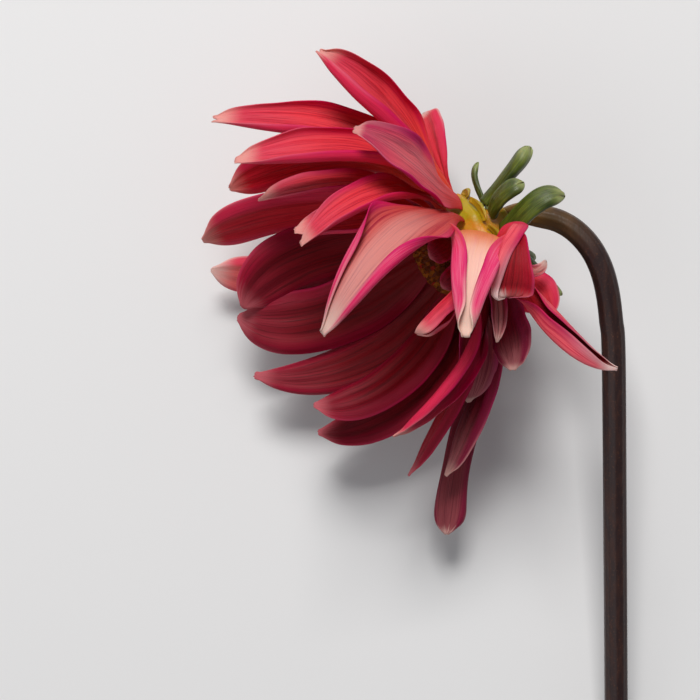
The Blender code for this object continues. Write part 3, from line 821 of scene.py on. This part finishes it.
def disc_finish():
    """The disc florets: olive brown, ochre at some mouths, reddish at others."""
    skin = Finish("disc_brown", Specular_IOR_Level=0.15)
    mark = skin.read("mark")
    where = skin.node("TexCoord", output="Object")
    dust = skin.grain(where, 900.0, 3.0)
    hue = skin.node("ValToRGB", {"stops": [(0.0, colour(94, 34, 4)), (0.45, colour(132, 58, 8)),
                                           (0.8, colour(164, 92, 16)), (1.0, colour(166, 14, 22))]},
                    {"Fac": mark})
    hue = skin.blend(skin.between(dust, 0.45, 0.7) * 0.5, hue, colour(84, 30, 4))
    skin.set(Base_Color=hue, Roughness=0.5 + dust * 0.3, Normal=skin.relief(dust, 0.15))
    return skin.material


def stem_finish():
    """The stem: dark brownish purple, made darker with painted shade, streaked along its length and ochre
    toward the neck.
    """
    skin = Finish("stem_purple")
    where = skin.node("TexCoord", output="Object")
    along = skin.read("along")
    drawn = skin.node("Mapping", None, {"Vector": where, "Scale": (900, 120, 900)})
    streaks = skin.grain(drawn, 1.0, 3.0, 0.6)
    cloud = skin.grain(where, 90.0, 2.0)
    flecks = skin.grain(where, 2600.0, 1.0)
    neck = 1 - skin.between(along, 0.05, 0.5)
    # The two browns are the stem's own dark purple-brown, darkened further with painted shade.
    hue = skin.blend(skin.between(streaks, 0.42, 0.66) * 0.6, colour(34, 11, 9), colour(58, 26, 13))
    hue = skin.blend(skin.between(cloud, 0.24, 0.5) * neck * 0.9, hue, colour(136, 96, 20))
    hue = skin.blend(skin.between(flecks, 0.6, 0.75) * 0.18, hue, colour(134, 84, 50))
    skin.set(Base_Color=hue, Roughness=0.38 + streaks * 0.25,
             Normal=skin.relief(streaks + flecks * 0.3, 0.12))
    return skin.material


# ---------------------------------------------------------------- surroundings

def add_surroundings():
    """A pale floor, a soft light from the flower's upper side, a faint fill and the camera."""
    scene = bpy.context.scene
    body = bmesh.new()
    bmesh.ops.create_grid(body, x_segments=1, y_segments=1, size=3)
    mesh = bpy.data.meshes.new("floor")
    body.to_mesh(mesh)
    body.free()
    floor = bpy.data.objects.new("floor", mesh)
    scene.collection.objects.link(floor)
    mesh.materials.append(Finish("floor", Base_Color=(0.74, 0.73, 0.72), Roughness=0.85).material)

    world = bpy.data.worlds.new("studio")
    scene.world = world
    world.use_nodes = True
    world.node_tree.nodes["Background"].inputs["Color"].default_value = (0.9, 0.93, 1.0, 1)
    world.node_tree.nodes["Background"].inputs["Strength"].default_value = 0.22

    for name, place, size, power in (("key", (-0.10, 0.68, 0.95), 0.4, 13.5),
                                     ("fill", (-0.7, -0.6, 0.9), 0.9, 2.5)):
        lamp = bpy.data.lights.new(name, "AREA")
        lamp.energy = power
        lamp.size = size
        light = bpy.data.objects.new(name, lamp)
        light.location = HEAD + Vector(place)
        light.rotation_euler = (-Vector(place)).to_track_quat("-Z", "Y").to_euler()
        light.visible_camera = False
        scene.collection.objects.link(light)

    camera = bpy.data.cameras.new("camera")
    camera.sensor_width = SENSOR
    camera.lens = SENSOR * VIEW_OFFSET.z / VIEW_WIDTH
    camera.clip_start = 0.01
    camera.clip_end = 10
    view = bpy.data.objects.new("camera", camera)
    view.location = HEAD + VIEW_OFFSET * MM
    scene.collection.objects.link(view)
    scene.camera = view
    scene.view_settings.view_transform = "Standard"


# ---------------------------------------------------------------- the flower

# The first mark of each kind of piece. Pieces with different marks have different noise.
PETAL_MARK = 1
SCRAP_MARK = 41
CURL_MARK = 47
BRACT_MARK = 51
INNER_BRACT_MARK = 71

# Each petal skin's tone and how it is laid on.
SKINS = {
    "coral": (CORAL, 0.3),
    "crimson": (CRIMSON, 0.3),
    "cream": (CREAM, 1.0, 0.3, 0.78),
    "flushed": (FLUSHED_SHADED, 0.5, 0.05),
    "folded": (FLUSHED_SHADED, 0.5, 0.05, 0.94, 0.9),
    "rosy": (ROSY, 0.6),
    "shaded": (SHADED, 0.6, 0.75),
    "dim": (SHADED, 0.3, 0.35, 0.97),
    "rosy_tipped": (ROSY, 0.6, 0.7),
    "dusky": (DUSKY, 0.65, 0.5, 0.84),
    "veined": (VEINED, 0.5, 0.15, 0.95),
    "deep": (DEEP_SHADED, 0.2, 0.3),
}
SKIN_OF = {
    "petal_outer_2": "veined", "petal_outer_3": "cream", "petal_outer_4": "folded",
    "petal_outer_5": "flushed", "petal_outer_6": "rosy", "petal_outer_7": "dim",
    "petal_outer_8": "rosy", "petal_middle_3": "dusky", "petal_middle_4": "shaded",
    "petal_middle_5": "shaded", "petal_middle_7": "shaded", "petal_middle_10": "rosy_tipped",
    "petal_inner_4": "crimson", "scrap_disc_1": "deep", "scrap_disc_2": "deep", "scrap_disc_3": "deep",
    "scrap_low": "dim", "scrap_curl": "dusky",
}


def skin_of(petal):
    return SKIN_OF.get(petal.name, "deep" if is_deep(petal) else "coral")


def main():
    skins = {name: petal_finish("petal_" + name, *look) for name, look in SKINS.items()}
    for mark, petal in enumerate(PETALS, PETAL_MARK):
        body = petal_body(petal, mark)
        finished(petal.name.replace("petal", "ray"), body, skins[skin_of(petal)], [petal.name])
    for mark, petal in enumerate(SCRAPS, SCRAP_MARK):
        finished(petal.name, petal_body(petal, mark), skins[skin_of(petal)])
    body = petal_body(CURL, CURL_MARK, Vector(CURL_START))
    finished(CURL.name, body, skins[skin_of(CURL)])

    # The third colour, for the tips, is partly a painted highlight.
    green = bract_finish("bract_green", colour(46, 60, 6), colour(106, 120, 32), colour(160, 166, 104))
    for mark, bract in enumerate(BRACTS, BRACT_MARK):
        frames = blade_frames(bract.azimuth, bract.length, bract.course, bract.turn)
        shape = (bract.width, BRACT_CLAW, BRACT_BLUNTNESS, bract.cup)
        seat = seat_point(bract.azimuth, BRACT_RING)
        thickness = bract.width * BRACT_THICKNESS
        body = bract_body(frames, seat, shape, thickness, BRACT_FACES, mark, BRACT_WAIST)
        finished(bract.name.replace("bract", "finger"), body, green, [bract.name])

    yellow = bract_finish("inner_bract_yellow", colour(158, 132, 8), colour(186, 140, 12),
                          colour(172, 166, 60))
    for i in range(INNER_BRACT_COUNT):
        azimuth = INNER_BRACT_FIRST + 360 * i / INNER_BRACT_COUNT
        course = (heading_of(seat_direction(azimuth) - INNER_BRACT_LEAN * AXIS),) * 3
        frames = blade_frames(azimuth, INNER_BRACT_LENGTH, course, (0, 0))
        shape = (INNER_BRACT_WIDTH, INNER_BRACT_CLAW, INNER_BRACT_BLUNTNESS, INNER_BRACT_CUP)
        seat = seat_point(azimuth, INNER_BRACT_RING)
        mark = INNER_BRACT_MARK + i
        body = bract_body(frames, seat, shape, INNER_BRACT_THICKNESS, INNER_BRACT_FACES, mark)
        finished(f"scale_{i + 1}", body, yellow, [f"inner_bract_{i + 1}"])

    add_receptacle(receptacle_finish())
    add_disc(disc_finish())
    add_stem(stem_finish())
    add_surroundings()


main()
